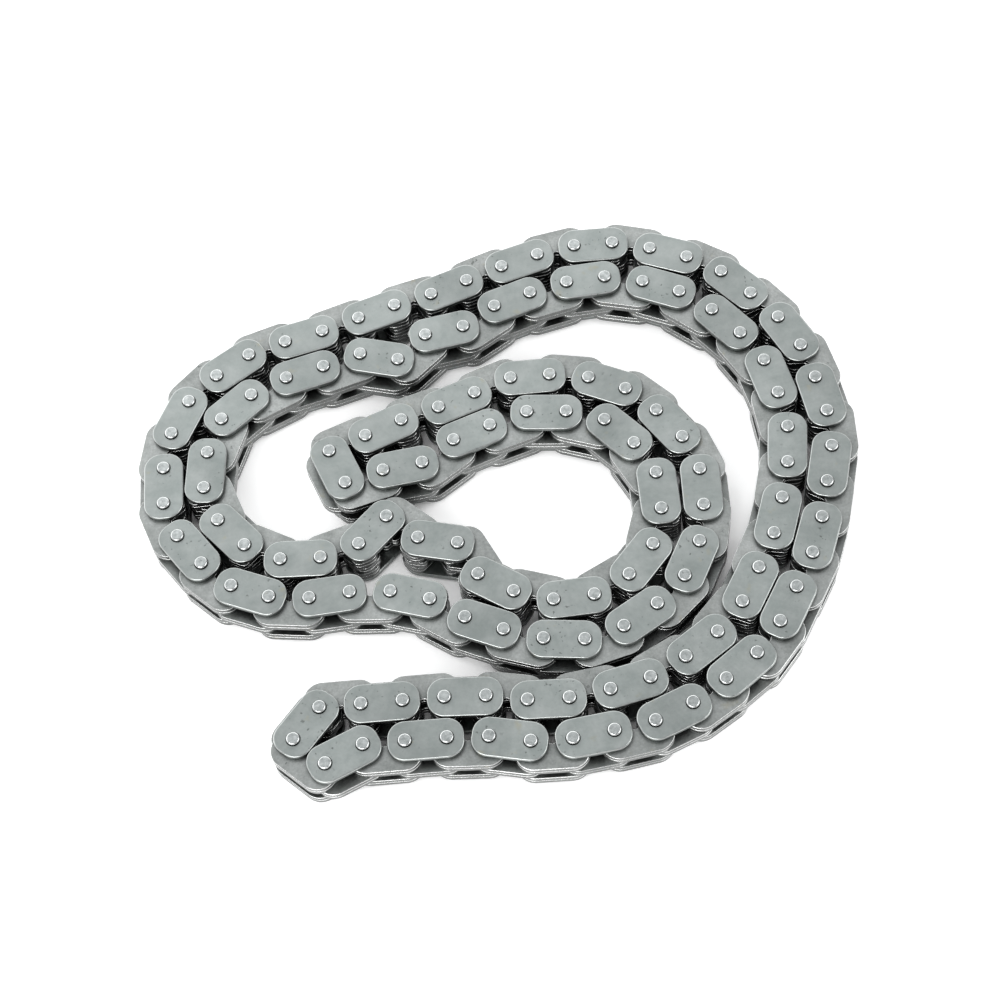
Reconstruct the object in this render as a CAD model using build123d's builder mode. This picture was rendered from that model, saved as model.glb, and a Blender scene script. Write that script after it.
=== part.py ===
from build123d import *
from math import atan2, cos, degrees, floor, hypot, radians, sin, sqrt
import os

# Endless inverted-tooth (silent) chain, its loop pressed flat into a double strand and coiled
# on a table, pins upright.  Millimetres, +Z along the pins, origin under the middle of the coil.
#
# A guide link is two guide plates outside, two tooth plates in the middle and two pins.
# An inner link is four tooth plates, two above and two below the guide link's own.
# Links are numbered round the loop: link n joins pin n to pin n + 1, and even links are guide
# links.  Pins 0 to 62 lie along the inner strand, from the outer fold to the inner fold, and
# pins 63 to 133 lie along the outer strand, back to the outer fold.

# ---------------------------------------------------------------- driving dimensions
pitch = 8.0  # pin to pin
link_count = 134
plate_thickness = 1.2
plate_play = 0.03  # side play between neighbouring plates
pin_diameter = 2.6
pin_projection = 0.6  # pin end beyond the guide plate
pin_rounding = 0.3
running_clearance = 0.05  # radial, pin in tooth plate
seat_clearance = 0.03  # radial, pin in guide plate

guide_length = 14.72
guide_width = 8.0
guide_corner = 3.4
guide_edge_rounding = 0.3
seat_chamfer = 0.12

tooth_length = 14.4
back_height = 5.52  # pin line to the flat back
back_corner = 3.68
toe_depth = 3.88  # pin line to the toe tips
toe_taper = 0.4  # how far the toe's outer side leans in
toe_corner = 2.3
crotch_apex = 3.0  # where the two inner flanks would meet, above the pin line
crotch_mouth = 4.2  # flank to flank at the toe tips
crotch_radius = 1.1
flank_radius = 1.3

# ---------------------------------------------------------------- how the coil lies
# Heading of the outer strand, in degrees, at some of its links; it turns evenly between them.
outer_course = [
    (63, 17), (67, 15), (72, -59), (78, -153), (81, -203), (83, -214), (86, -176), (90, -238), (93, -286),
    (97, -347), (100, -347), (104, -344), (110, -407), (116, -464), (120, -485), (125, -531), (128, -552),
    (131, -540),
]
course_wander = 3.0  # degrees that single links stray from that heading
wander_step = 2.1  # radians from one link's stray to the next

# The inner strand lies against the outer one's toes, apart from the kinks that take up its slack.
strand_gap = 1.03 * pitch
slack_kinks = {
    60: 1.35 * pitch,
    46: 1.15 * pitch,
    45: 1.65 * pitch,
    44: 1.55 * pitch,
    43: 2.05 * pitch,
    42: 1.30 * pitch,
    41: 1.05 * pitch,
    30: 1.57 * pitch,
    29: 1.13 * pitch,
    28: 1.25 * pitch,
}
inner_fold_headings = {62: 109, 61: 192}  # the two links that turn back at the inner fold
outer_fold_heading = -159  # link 132, the first that turns back at the outer fold

# Links that lie free enough at the ends of the coil to move by themselves, in order from the
# coil outwards.  The rest of the loop is held by its neighbours and moves as one.
free_runs = {
    "outer_tail": list(range(118, 134)),
    "return_tail": list(range(5, -1, -1)),
    "inner_tail": list(range(65, 61, -1)),
}
open_pins = (0, 62)  # the loop is opened here: the pin stops short of the inner link's plates

os.makedirs("parts", exist_ok=True)


# ---------------------------------------------------------------- places of the pins
def heading(link, stray=True):
    """Heading of a link of the outer strand, in radians."""
    for (first, turned), (last, turned_on) in zip(outer_course, outer_course[1:]):
        if first <= link <= last:
            share = (link - first) / (last - first)
            wander = course_wander * sin(wander_step * link) if stray else 0
            return radians(turned + share * (turned_on - turned) + wander)


def step(start, angle, length=pitch):
    return (start[0] + length * cos(angle), start[1] + length * sin(angle))


def beside_outer_strand(station, gap, pins):
    """The point at a distance from the outer strand, on its toe side, at a fractional pin number."""
    first, last = outer_course[0][0], outer_course[-1][0]
    link = min(max(floor(station), first), last)
    share = station - link
    before = heading(max(link - 1, first), False) + heading(link, False)
    after = heading(link, False) + heading(min(link + 1, last), False)
    facing = (before * (1 - share) + after * share) / 2
    x = pins[link][0] * (1 - share) + pins[link + 1][0] * share
    y = pins[link][1] * (1 - share) + pins[link + 1][1] * share
    return step((x, y), facing - radians(90), gap)


def next_inner_pin(previous, station, gap, pins):
    """The next pin of the inner strand, one pitch on from the previous one, and its station."""
    near, far = station + 0.2, station + 2.0
    for _ in range(40):
        middle = (near + far) / 2
        x, y = beside_outer_strand(middle, gap, pins)
        if hypot(x - previous[0], y - previous[1]) < pitch:
            near = middle
        else:
            far = middle
    return (x, y), middle


def corner_of(a, b):
    """The point one pitch from both a and b, on the left of the way from a to b."""
    across = hypot(b[0] - a[0], b[1] - a[1])
    rise = sqrt(pitch**2 - across**2 / 4)
    x = (a[0] + b[0]) / 2 - rise * (b[1] - a[1]) / across
    y = (a[1] + b[1]) / 2 + rise * (b[0] - a[0]) / across
    return (x, y)


def lay_out_pins():
    pins = {63: (0.0, 0.0)}
    for link in range(63, 132):
        pins[link + 1] = step(pins[link], heading(link))
    for link, turned in inner_fold_headings.items():
        pins[link] = step(pins[link + 1], radians(turned), -pitch)
    station = 64.14
    for pin in range(60, 0, -1):
        gap = slack_kinks.get(pin, strand_gap)
        pins[pin], station = next_inner_pin(pins[pin + 1], station, gap, pins)
    pins[133] = step(pins[132], radians(outer_fold_heading))
    pins[0] = corner_of(pins[133], pins[1])
    return pins


# ---------------------------------------------------------------- single pieces
layer = plate_thickness + plate_play
guide_levels = [pin_projection, pin_projection + 7 * layer]
inner_levels = [pin_projection + k * layer for k in (1, 2, 5, 6)]
middle_levels = [pin_projection + k * layer for k in (3, 4)]
chain_height = 2 * pin_projection + 7 * layer + plate_thickness
pin_seats = [(-pitch / 2, 0), (pitch / 2, 0)]

tooth_side = [
    (crotch_mouth / 2, -toe_depth),
    (tooth_length / 2 - toe_taper, -toe_depth),
    (tooth_length / 2, toe_taper),
    (tooth_length / 2, back_height),
]
side_radii = [flank_radius, toe_corner, toe_depth, back_corner]

with BuildSketch() as tooth_outline:
    with BuildLine():
        FilletPolyline(
            (0, crotch_apex),
            *tooth_side,
            *[(-x, y) for x, y in reversed(tooth_side)],
            radius=[crotch_radius, *side_radii, *reversed(side_radii)],
            close=True,
        )
    make_face()
    with Locations(*pin_seats):
        Circle(pin_diameter / 2 + running_clearance, mode=Mode.SUBTRACT)

with BuildPart() as tooth_plate:
    add(tooth_outline.sketch)
    extrude(amount=plate_thickness)

with BuildPart() as guide_plate:
    with BuildSketch():
        RectangleRounded(guide_length, guide_width, guide_corner)
    extrude(amount=plate_thickness)
    faces = guide_plate.faces().filter_by(Axis.Z)
    fillet(faces.edges(), guide_edge_rounding)
    with Locations(*pin_seats):
        Hole(pin_diameter / 2 + seat_clearance)
    seats = guide_plate.edges().filter_by(GeomType.CIRCLE)
    seats = seats.filter_by(lambda edge: abs(edge.radius - pin_diameter / 2 - seat_clearance) < 0.001)
    chamfer(seats, seat_chamfer)

with BuildPart() as pin:
    Cylinder(pin_diameter / 2, chain_height, align=(Align.CENTER, Align.CENTER, Align.MIN))
    fillet(pin.edges().filter_by(GeomType.CIRCLE), pin_rounding)

# The pin of an opened pivot, left only where its own guide link's plates hold it.
with BuildPart() as open_pin:
    add(pin.part)
    for level in (inner_levels[0], inner_levels[2]):
        with BuildSketch(Plane.XY.offset(level - plate_play)):
            Circle(pin_diameter)
        extrude(amount=2 * layer + plate_play, mode=Mode.SUBTRACT)


# ---------------------------------------------------------------- placing the pieces
def link_place(link, level=0):
    """Where a plate of a link goes: between its two pins, back on the left of the way round."""
    (x, y), (next_x, next_y) = pins[link], pins[(link + 1) % link_count]
    angle = degrees(atan2(next_y - y, next_x - x))
    return Location(((x + next_x) / 2, (y + next_y) / 2, level), (0, 0, angle))


def centred(pins):
    """The pins moved so that the coil's bounding box is centred on the origin."""
    boxes = [tooth_outline.sketch.moved(link_place(link)).bounding_box() for link in range(link_count)]
    middle_x = (min(box.min.X for box in boxes) + max(box.max.X for box in boxes)) / 2
    middle_y = (min(box.min.Y for box in boxes) + max(box.max.Y for box in boxes)) / 2
    return {pin: (x - middle_x, y - middle_y) for pin, (x, y) in pins.items()}


pins = lay_out_pins()
pins = centred(pins)


def write_node(name, *groups):
    """One node: each group is a piece and the places where copies of it stand."""
    with BuildPart() as node:
        for piece, places in groups:
            if places:
                with Locations(*places):
                    add(piece.part, clean=False)
    node.part.label = name
    export_step(node.part, f"parts/{name}.step")


def link_places(links, levels):
    return [link_place(link, level) for link in links for level in levels]


def pin_groups(links):
    """The two pins of each guide link, whole or opened."""
    own = [pin for link in links for pin in (link, link + 1)]
    whole = [Location((*pins[number], 0)) for number in own if number not in open_pins]
    opened = [Location((*pins[number], 0)) for number in own if number in open_pins]
    return (pin, whole), (open_pin, opened)


# ---------------------------------------------------------------- the held coil
free_links = [link for run in free_runs.values() for link in run]
held = [link for link in range(link_count) if link not in free_links]
held_guides = [link for link in held if link % 2 == 0]
held_inners = [link for link in held if link % 2 == 1]

write_node("coil_lower_guide_plates", (guide_plate, link_places(held_guides, guide_levels[:1])))
write_node("coil_upper_guide_plates", (guide_plate, link_places(held_guides, guide_levels[1:])))
write_node("coil_middle_tooth_plates", (tooth_plate, link_places(held_guides, middle_levels)))
write_node("coil_lower_tooth_plates", (tooth_plate, link_places(held_inners, inner_levels[:2])))
write_node("coil_upper_tooth_plates", (tooth_plate, link_places(held_inners, inner_levels[2:])))
write_node("coil_pins", *pin_groups(held_guides))

# ---------------------------------------------------------------- the links that move singly
for run, links in free_runs.items():
    for number, link in enumerate(links, start=1):
        name = f"{run}_link_{number:02d}"
        if link % 2:
            write_node(f"{name}_tooth_plates", (tooth_plate, link_places([link], inner_levels)))
        else:
            write_node(f"{name}_tooth_plates", (tooth_plate, link_places([link], middle_levels)))
            write_node(f"{name}_guide_plates", (guide_plate, link_places([link], guide_levels)))
            write_node(f"{name}_pins", *pin_groups([link]))
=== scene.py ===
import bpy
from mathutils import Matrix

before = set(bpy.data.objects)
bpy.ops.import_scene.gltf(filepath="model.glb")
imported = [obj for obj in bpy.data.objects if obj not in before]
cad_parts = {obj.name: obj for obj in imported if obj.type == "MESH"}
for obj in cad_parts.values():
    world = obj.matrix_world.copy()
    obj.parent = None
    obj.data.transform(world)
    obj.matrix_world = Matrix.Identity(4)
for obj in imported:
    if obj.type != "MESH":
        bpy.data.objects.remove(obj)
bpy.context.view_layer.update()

import math

import bpy
from mathutils import Matrix, Vector

# An inverted-tooth chain.  Every piece is a CAD node: here they get their steels, and the punched
# tooth plates get broken edges.  Lengths are in metres, and texture scales in waves per metre.
MM = 0.001

# ------------------------------------------------------------------ driving numbers
BROAD_SCALE = 60.0  # drifts of tone across a few links
FINE_SCALE = 1500.0
HAIR_SCALE = 5200.0
SHEAR_SCALE = 2600.0
SHEAR_STRETCH = (1, 1, 0.06)  # the punch leaves marks along the pins
PIT_SCALE = 1150.0
PIT_ZONE_SCALE = 85.0  # pits come in patches
STAIN_SCALE = 260.0

PIT_COLOUR = (0.13, 0.14, 0.135)
STAIN_COLOUR = (0.40, 0.37, 0.25)
# near-black colour of the painted shade laid into narrow gaps
GAP_SHADE_COLOUR = (0.010, 0.012, 0.012)
AO_SAMPLES = 8
WORN_POLISH = 0.12  # how much less rough a worn edge is
BUMP_HEIGHT = 0.02 * MM

WELD_REACH = 0.002 * MM
FLAT_ANGLE = math.radians(0.5)
SHARP_ANGLE = math.radians(40)
BROKEN_EDGE = 0.17 * MM
FLATS_FIRST = 100  # weighted normals: large faces decide

FLOOR_HALF_WIDTH = 4.0
FLOOR_TONE = 0.94
FLOOR_ROUGHNESS = 0.6
FLOOR_GLOW = 0.48
FLOOR_GAP = 9 * MM  # between walls nearer than this the floor doesn't glow

SKY_STRENGTH = 1.25
SKY_BELOW, SKY_MIDDLE, SKY_ABOVE = (0.80, 0.80, 0.80), (1.0, 1.0, 1.0), (0.70, 0.72, 0.73)
SKY_MIDDLE_HEIGHT = 0.45
BACK_LEFT = (-0.45, 0.90, 0.0)

CAMERA_DOWN = math.radians(63.37666)
CAMERA_ROLL = math.radians(-7.4534)
CAMERA_PLACE = Vector((-0.0002, -0.20416, 0.41245))
CAMERA_LENS = 81.36
CAMERA_SENSOR = 36.0
CAMERA_REACH = 20.0


# ------------------------------------------------------------------ node helpers
def new_material(name):
    mat = bpy.data.materials.new(name)
    mat.use_nodes = True
    tree = mat.node_tree
    tree.nodes.clear()
    out = tree.nodes.new("ShaderNodeOutputMaterial")
    bsdf = tree.nodes.new("ShaderNodeBsdfPrincipled")
    tree.links.new(bsdf.outputs["BSDF"], out.inputs["Surface"])
    return mat, tree, bsdf


def feed(tree, socket, value):
    """Gives an input socket a number, a colour or another node's output."""
    if isinstance(value, (int, float)):
        socket.default_value = value
    elif isinstance(value, tuple):
        socket.default_value = (*value, 1.0)
    else:
        tree.links.new(value, socket)


def noise(tree, coords, scale, detail, rough, stretch=(1, 1, 1)):
    """Noise of `scale` waves per metre, optionally stretched along an axis."""
    mapping = tree.nodes.new("ShaderNodeMapping")
    mapping.inputs["Scale"].default_value = stretch
    tree.links.new(coords, mapping.inputs["Vector"])
    tex = tree.nodes.new("ShaderNodeTexNoise")
    tex.inputs["Scale"].default_value = scale
    tex.inputs["Detail"].default_value = detail
    tex.inputs["Roughness"].default_value = rough
    tree.links.new(mapping.outputs["Vector"], tex.inputs["Vector"])
    return tex.outputs["Fac"]


def span(tree, value, low, high, to_low=0.0, to_high=1.0):
    """Maps low..high of a value to to_low..to_high, clamped."""
    node = tree.nodes.new("ShaderNodeMapRange")
    node.clamp = True
    sockets = ("From Min", "From Max", "To Min", "To Max")
    for socket, number in zip(sockets, (low, high, to_low, to_high)):
        node.inputs[socket].default_value = number
    tree.links.new(value, node.inputs["Value"])
    return node.outputs["Result"]


def math_node(tree, kind, a, b):
    node = tree.nodes.new("ShaderNodeMath")
    node.operation = kind
    feed(tree, node.inputs[0], a)
    feed(tree, node.inputs[1], b)
    return node.outputs["Value"]


def mix_colour(tree, factor, a, b, kind="MIX"):
    node = tree.nodes.new("ShaderNodeMix")
    node.data_type = "RGBA"
    node.blend_type = kind
    for socket, value in zip((node.inputs[0], node.inputs[6], node.inputs[7]), (factor, a, b)):
        feed(tree, socket, value)
    return node.outputs[2]


# ------------------------------------------------------------------ steels
def tint(tree, colour, value):
    return mix_colour(tree, 1.0, colour, value, "MULTIPLY")


def flatness(tree, geometry):
    """1 on a flat, 0 on a side, and between them where an edge rounds over."""
    split = tree.nodes.new("ShaderNodeSeparateXYZ")
    tree.links.new(geometry.outputs["Normal"], split.inputs["Vector"])
    return math_node(tree, "ABSOLUTE", split.outputs["Z"], 0.0)


def pitted(tree, coords, colour, pits):
    """Small dark pits that come in patches, and a few warm stains."""
    zone = span(tree, noise(tree, coords, PIT_ZONE_SCALE, 2.0, 0.5), 0.50, 0.62, 0.0, 0.75)
    colour = mix_colour(tree, math_node(tree, "MULTIPLY", pits, zone), colour, PIT_COLOUR)
    stain = span(tree, noise(tree, coords, STAIN_SCALE, 3.0, 0.6), 0.66, 0.76, 0.0, 0.40)
    return mix_colour(tree, stain, colour, STAIN_COLOUR)


def paint_gap_shade(tree, colour, gap_shade, reach):
    """Painted shade: darkens gaps narrower than about twice the reach towards near-black."""
    occlusion = tree.nodes.new("ShaderNodeAmbientOcclusion")
    occlusion.samples = AO_SAMPLES
    occlusion.inputs["Distance"].default_value = reach * MM
    shade = span(tree, occlusion.outputs["AO"], 0.14, 0.72, gap_shade, 0.0)
    return mix_colour(tree, shade, colour, GAP_SHADE_COLOUR)


def edge_wear_and_highlight(tree, level, fine):
    """1 on burnished edges, wherever the surface rounds over; real wear, which the steels also use
    for a painted highlight.
    """
    off_side = span(tree, level, 0.10, 0.35)
    off_flat = span(tree, level, 0.90, 0.985, 1.0, 0.0)
    wear_and_highlight = math_node(tree, "MULTIPLY", off_side, off_flat)
    return math_node(tree, "MULTIPLY", wear_and_highlight, span(tree, fine, 0.3, 0.6, 0.75, 1.0))


def relief(tree, coords, fine, shear, pits, grain):
    """Bump from the grain, the shear marks and the pits."""
    hair = noise(tree, coords, HAIR_SCALE, 2.0, 0.6)
    height = math_node(tree, "MULTIPLY", hair, 0.5)
    height = math_node(tree, "ADD", height, fine)
    if shear is not None:
        height = math_node(tree, "ADD", height, math_node(tree, "MULTIPLY", shear, 1.2))
    height = math_node(tree, "SUBTRACT", height, math_node(tree, "MULTIPLY", pits, 0.6))
    bump = tree.nodes.new("ShaderNodeBump")
    bump.inputs["Strength"].default_value = grain
    bump.inputs["Distance"].default_value = BUMP_HEIGHT
    tree.links.new(height, bump.inputs["Height"])
    return bump.outputs["Normal"]


def steel(name, dark, light, edge, roughness, specks, grain, side, gap_shade, reach, drift=0.05,
          patch=190.0, streak=0.0, uneven=False):
    """Worked steel.

    Mottled from dark to light in patches of `patch` waves per metre, with edge on burnished edges,
    real wear brightened further as a painted highlight.
    specks is the noise level at which pits start, grain the bump's strength, side the tone that
    paints shade on steep sides, and gap_shade and reach the strength and distance (mm) of painted
    shade in the gaps.
    drift is the change of tone across the object, streak the strength of shear marks, and
    uneven gives each plate a tone of its own.
    """
    mat, tree, bsdf = new_material(name)
    coords = tree.nodes.new("ShaderNodeTexCoord").outputs["Object"]
    geometry = tree.nodes.new("ShaderNodeNewGeometry")
    level = flatness(tree, geometry)
    broad = noise(tree, coords, BROAD_SCALE, 1.0, 0.5)
    mottle = noise(tree, coords, patch, 4.0, 0.65)
    fine = noise(tree, coords, FINE_SCALE, 5.0, 0.7)
    shear = noise(tree, coords, SHEAR_SCALE, 3.0, 0.6, SHEAR_STRETCH) if streak else None
    pits = span(tree, noise(tree, coords, PIT_SCALE, 2.0, 0.4), specks, specks + 0.05)
    wear_and_highlight = edge_wear_and_highlight(tree, level, fine)

    colour = mix_colour(tree, span(tree, mottle, 0.32, 0.68), dark, light)
    colour = tint(tree, colour, span(tree, broad, 0.35, 0.65, 1 - drift, 1 + drift))
    if uneven:
        own_tone = geometry.outputs["Random Per Island"]
        colour = tint(tree, colour, span(tree, own_tone, 0.0, 1.0, 0.93, 1.06))
    colour = tint(tree, colour, span(tree, fine, 0.25, 0.75, 0.93, 1.06))
    if streak:
        marks = span(tree, shear, 0.3, 0.7, 0.6, 1.25)
        colour = mix_colour(tree, streak, colour, marks, "MULTIPLY")
    # painted shade: steep sides are darkened towards the side factor, flats keep their tone
    colour = tint(tree, colour, span(tree, level, 0.1, 0.6, side, 1.0))
    colour = pitted(tree, coords, colour, pits)
    # painted shade: narrow gaps are darkened towards near-black by ambient occlusion
    colour = paint_gap_shade(tree, colour, gap_shade, reach)
    # edges: real burnished wear, brightened further as a painted highlight over the painted shade
    colour = mix_colour(tree, wear_and_highlight, colour, edge)
    tree.links.new(colour, bsdf.inputs["Base Color"])

    rough = span(tree, fine, 0.25, 0.75, roughness - 0.07, roughness + 0.09)
    polish = math_node(tree, "MULTIPLY", wear_and_highlight, WORN_POLISH)
    rough = math_node(tree, "SUBTRACT", rough, polish)
    tree.links.new(rough, bsdf.inputs["Roughness"])
    bsdf.inputs["Metallic"].default_value = 1.0
    normal = relief(tree, coords, fine, shear, pits, grain)
    tree.links.new(normal, bsdf.inputs["Normal"])
    return mat


guide_steel = steel(
    "guide_steel", dark=(0.305, 0.335, 0.325), light=(0.39, 0.415, 0.405), edge=(0.49, 0.51, 0.50),
    roughness=0.40, specks=0.655, grain=0.3, side=0.5, gap_shade=0.8, reach=3.0, drift=0.09,
)
tooth_steel = steel(
    "tooth_steel", dark=(0.31, 0.325, 0.315), light=(0.47, 0.485, 0.475), edge=(0.90, 0.91, 0.90),
    roughness=0.34, specks=0.68, grain=0.32, side=0.42, gap_shade=0.97, reach=6.5, streak=0.40,
    uneven=True,
)
pin_steel = steel(
    "pin_steel", dark=(0.35, 0.375, 0.37), light=(0.62, 0.645, 0.64), edge=(0.85, 0.86, 0.86),
    roughness=0.30, specks=0.70, grain=1.0, side=0.45, gap_shade=0.97, reach=1.2, patch=1000.0,
)


# ------------------------------------------------------------------ the CAD nodes
def break_edges(obj, width):
    """Joins a punched plate's faces up, rounds its sharp edges and keeps its flats flat."""
    weld = obj.modifiers.new("weld", "WELD")
    weld.merge_threshold = WELD_REACH
    plain = obj.modifiers.new("plain_faces", "DECIMATE")
    plain.decimate_type = "DISSOLVE"
    plain.angle_limit = FLAT_ANGLE
    bevel = obj.modifiers.new("bevel", "BEVEL")
    bevel.width = width
    bevel.segments = 2
    bevel.limit_method = "ANGLE"
    bevel.angle_limit = SHARP_ANGLE
    normals = obj.modifiers.new("normals", "WEIGHTED_NORMAL")
    normals.mode = "FACE_AREA"
    normals.weight = FLATS_FIRST


for name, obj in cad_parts.items():
    if name.endswith("guide_plates"):
        material = guide_steel
    elif name.endswith("pins"):
        material = pin_steel
    else:
        material = tooth_steel
        break_edges(obj, BROKEN_EDGE)
    for slot in obj.material_slots:
        slot.material = material


# ------------------------------------------------------------------ floor, light, camera
def floor():
    """A white tabletop that glows a little, so that shadows beside the chain stay pale."""
    mesh = bpy.data.meshes.new("floor")
    corners = [(-1, -1), (1, -1), (1, 1), (-1, 1)]
    points = [(x * FLOOR_HALF_WIDTH, y * FLOOR_HALF_WIDTH, 0) for x, y in corners]
    mesh.from_pydata(points, [], [(0, 1, 2, 3)])
    obj = bpy.data.objects.new("floor", mesh)
    bpy.context.scene.collection.objects.link(obj)
    mat, tree, bsdf = new_material("floor")
    bsdf.inputs["Base Color"].default_value = (FLOOR_TONE, FLOOR_TONE, FLOOR_TONE, 1)
    bsdf.inputs["Roughness"].default_value = FLOOR_ROUGHNESS
    bsdf.inputs["Emission Color"].default_value = (1, 1, 1, 1)
    occlusion = tree.nodes.new("ShaderNodeAmbientOcclusion")
    occlusion.samples = AO_SAMPLES
    occlusion.inputs["Distance"].default_value = FLOOR_GAP
    glow = span(tree, occlusion.outputs["AO"], 0.12, 0.38, 0.0, FLOOR_GLOW)
    tree.links.new(glow, bsdf.inputs["Emission Strength"])
    mesh.materials.append(mat)


def softbox(name, place, size, power):
    """A rectangular light that points at the object."""
    data = bpy.data.lights.new(name, "AREA")
    data.shape = "RECTANGLE"
    data.size, data.size_y = size
    data.energy = power
    obj = bpy.data.objects.new(name, data)
    bpy.context.scene.collection.objects.link(obj)
    obj.location = place
    obj.rotation_euler = (-Vector(place)).to_track_quat("-Z", "Y").to_euler()


def sky():
    """Pale room light, dimmer overhead than lower down, and brighter at the back left."""
    world = bpy.data.worlds.new("studio")
    world.use_nodes = True
    tree = world.node_tree
    back = tree.nodes["Background"]
    coords = tree.nodes.new("ShaderNodeTexCoord")
    split = tree.nodes.new("ShaderNodeSeparateXYZ")
    ramp = tree.nodes.new("ShaderNodeValToRGB")
    tree.links.new(coords.outputs["Generated"], split.inputs["Vector"])
    tree.links.new(split.outputs["Z"], ramp.inputs["Fac"])
    aside = tree.nodes.new("ShaderNodeVectorMath")
    aside.operation = "DOT_PRODUCT"
    aside.inputs[1].default_value = BACK_LEFT
    tree.links.new(coords.outputs["Generated"], aside.inputs[0])
    fall = span(tree, aside.outputs["Value"], 0.10, 0.70, 0.35, 1.65)
    colour = mix_colour(tree, 1.0, ramp.outputs["Color"], fall, "MULTIPLY")
    tree.links.new(colour, back.inputs["Color"])
    below, above = ramp.color_ramp.elements
    below.position, below.color = 0.0, (*SKY_BELOW, 1)
    above.position, above.color = 1.0, (*SKY_ABOVE, 1)
    middle = ramp.color_ramp.elements.new(SKY_MIDDLE_HEIGHT)
    middle.color = (*SKY_MIDDLE, 1)
    back.inputs["Strength"].default_value = SKY_STRENGTH
    bpy.context.scene.world = world


def camera():
    """The viewing angle of the photograph: looking down at 63 degrees, slightly rolled."""
    right = Vector((1, 0, 0))
    forward = Vector((0, math.cos(CAMERA_DOWN), -math.sin(CAMERA_DOWN)))
    up = right.cross(forward)
    x_axis = math.cos(CAMERA_ROLL) * right + math.sin(CAMERA_ROLL) * up
    y_axis = -math.sin(CAMERA_ROLL) * right + math.cos(CAMERA_ROLL) * up
    turned = Matrix((x_axis, y_axis, -forward)).transposed().to_4x4()
    data = bpy.data.cameras.new("camera")
    data.sensor_width = CAMERA_SENSOR
    data.lens = CAMERA_LENS
    data.clip_end = CAMERA_REACH
    obj = bpy.data.objects.new("camera", data)
    bpy.context.scene.collection.objects.link(obj)
    obj.matrix_world = Matrix.Translation(CAMERA_PLACE) @ turned
    bpy.context.scene.camera = obj


floor()
sky()
softbox("key", place=(-0.35, -0.55, 0.70), size=(0.7, 0.5), power=5.0)
softbox("fill", place=(0.6, -0.1, 0.6), size=(0.6, 0.6), power=2.5)
camera()
bpy.context.scene.view_settings.view_transform = "Standard"
